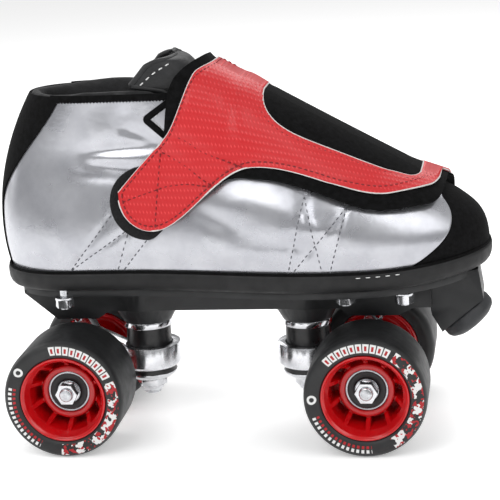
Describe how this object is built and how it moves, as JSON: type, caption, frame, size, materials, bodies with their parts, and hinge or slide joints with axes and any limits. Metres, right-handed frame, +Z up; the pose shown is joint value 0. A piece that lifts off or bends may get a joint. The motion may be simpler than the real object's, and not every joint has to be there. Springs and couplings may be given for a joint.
{
  "type": "quad roller skate",
  "caption": "Low-cut quad roller skate boot on a nylon plate with two sprung trucks, free-spinning wheels, a toe plug and a hook-and-loop strap over the laces.",
  "frame": {"origin": "on the floor under the wheels, midway along the skate and on its middle plane", "axes": "+X towards the toe, +Y towards the inner side of the right foot, +Z up"},
  "size_m": [0.2566, 0.122, 0.2004],
  "materials": {
    "sole_rubber": "matt moulded",
    "insole": "board with cloth top",
    "silver_vinyl": "smooth metallic coated, satin",
    "black_suede": "napped suede",
    "collar_lining": "padded textile",
    "black_leather": "fine grain, satin",
    "nickel": "bright plated",
    "lace_cord": "woven",
    "loop_fabric": "brushed loop pile",
    "red_carbon_vinyl": "embossed weave, satin",
    "nylon": "moulded, fine texture",
    "steel": "zinc plated",
    "plug_rubber": "matt moulded",
    "cup_nylon": "moulded",
    "cushion_rubber": "satin moulded",
    "polished_aluminium": "bright machined",
    "bearing_steel": "ground",
    "tyre_urethane": "matt cast urethane with a printed face",
    "red_hub": "gloss moulded nylon",
    "bearing_shield": "moulded rubber shield"
  },
  "bodies": {
    "skate": {"outsole": "sole_rubber", "insole_board": "insole", "lateral_quarter": "silver_vinyl", "medial_quarter": "silver_vinyl", "toe_cap": "black_suede", "heel_counter": "black_suede", "collar_band": "black_suede", "collar_padding": "collar_lining", "tongue": "black_leather", "eyestays": "black_leather", "eyelets": "nickel", "lace": "lace_cord", "loop_patch": "loop_fabric", "plate": "nylon", "plate_screws": "steel", "plate_nuts": "nickel", "toe_plug": "plug_rubber", "toe_plug_bolt": "steel", "pivot_cups": "cup_nylon", "kingpins": "steel", "kingpin_nuts": "nickel", "upper_cup_washers": "nickel", "lower_cup_washers": "nickel", "front_upper_cushion": "cushion_rubber", "front_lower_cushion": "cushion_rubber", "rear_upper_cushion": "cushion_rubber", "rear_lower_cushion": "cushion_rubber"},
    "strap": {"strap_cover": "red_carbon_vinyl", "strap_backing": "black_suede", "hook_pad": "loop_fabric"},
    "front_truck": {"front_hanger": "polished_aluminium", "front_pivot_pin": "steel", "front_pivot_locknut": "nickel", "front_axle": "steel", "front_axle_nuts": "nickel", "front_bearing_cores": "bearing_steel"},
    "front_right_wheel": {"front_right_tyre": "tyre_urethane", "front_right_hub": "red_hub", "front_right_bearings": "bearing_shield"},
    "front_left_wheel": {"front_left_tyre": "tyre_urethane", "front_left_hub": "red_hub", "front_left_bearings": "bearing_shield"},
    "rear_truck": {"rear_hanger": "polished_aluminium", "rear_pivot_pin": "steel", "rear_pivot_locknut": "nickel", "rear_axle": "steel", "rear_axle_nuts": "nickel", "rear_bearing_cores": "bearing_steel"},
    "rear_right_wheel": {"rear_right_tyre": "tyre_urethane", "rear_right_hub": "red_hub", "rear_right_bearings": "bearing_shield"},
    "rear_left_wheel": {"rear_left_tyre": "tyre_urethane", "rear_left_hub": "red_hub", "rear_left_bearings": "bearing_shield"}
  },
  "joints": [
    {"name": "front_truck_lean", "type": "hinge", "parent": "skate", "child": "front_truck", "pos_m": [0.0615, 0, 0.0668], "axis": [0.7176, 0, 0.6964], "range_deg": [-8, 8], "stiffness_Nm_per_rad": 12, "deforming": ["front_upper_cushion", "front_lower_cushion"]},
    {"name": "front_right_wheel_spin", "type": "hinge", "parent": "front_truck", "child": "front_right_wheel", "pos_m": [0.065, -0.041, 0.031], "axis": [0, 1, 0], "continuous": true},
    {"name": "front_left_wheel_spin", "type": "hinge", "parent": "front_truck", "child": "front_left_wheel", "pos_m": [0.065, 0.041, 0.031], "axis": [0, 1, 0], "continuous": true},
    {"name": "rear_truck_lean", "type": "hinge", "parent": "skate", "child": "rear_truck", "pos_m": [-0.0855, 0, 0.0668], "axis": [-0.7176, 0, 0.6964], "range_deg": [-8, 8], "stiffness_Nm_per_rad": 12, "deforming": ["rear_upper_cushion", "rear_lower_cushion"]},
    {"name": "rear_right_wheel_spin", "type": "hinge", "parent": "rear_truck", "child": "rear_right_wheel", "pos_m": [-0.089, -0.041, 0.031], "axis": [0, 1, 0], "continuous": true},
    {"name": "rear_left_wheel_spin", "type": "hinge", "parent": "rear_truck", "child": "rear_left_wheel", "pos_m": [-0.089, 0.041, 0.031], "axis": [0, 1, 0], "continuous": true},
    {"name": "strap_opening", "type": "hinge", "parent": "skate", "child": "strap", "pos_m": [0.039, 0.0395, 0.1355], "axis": [-0.9273, -0.038, 0.3724], "range_deg": [0, 100]}
  ]
}
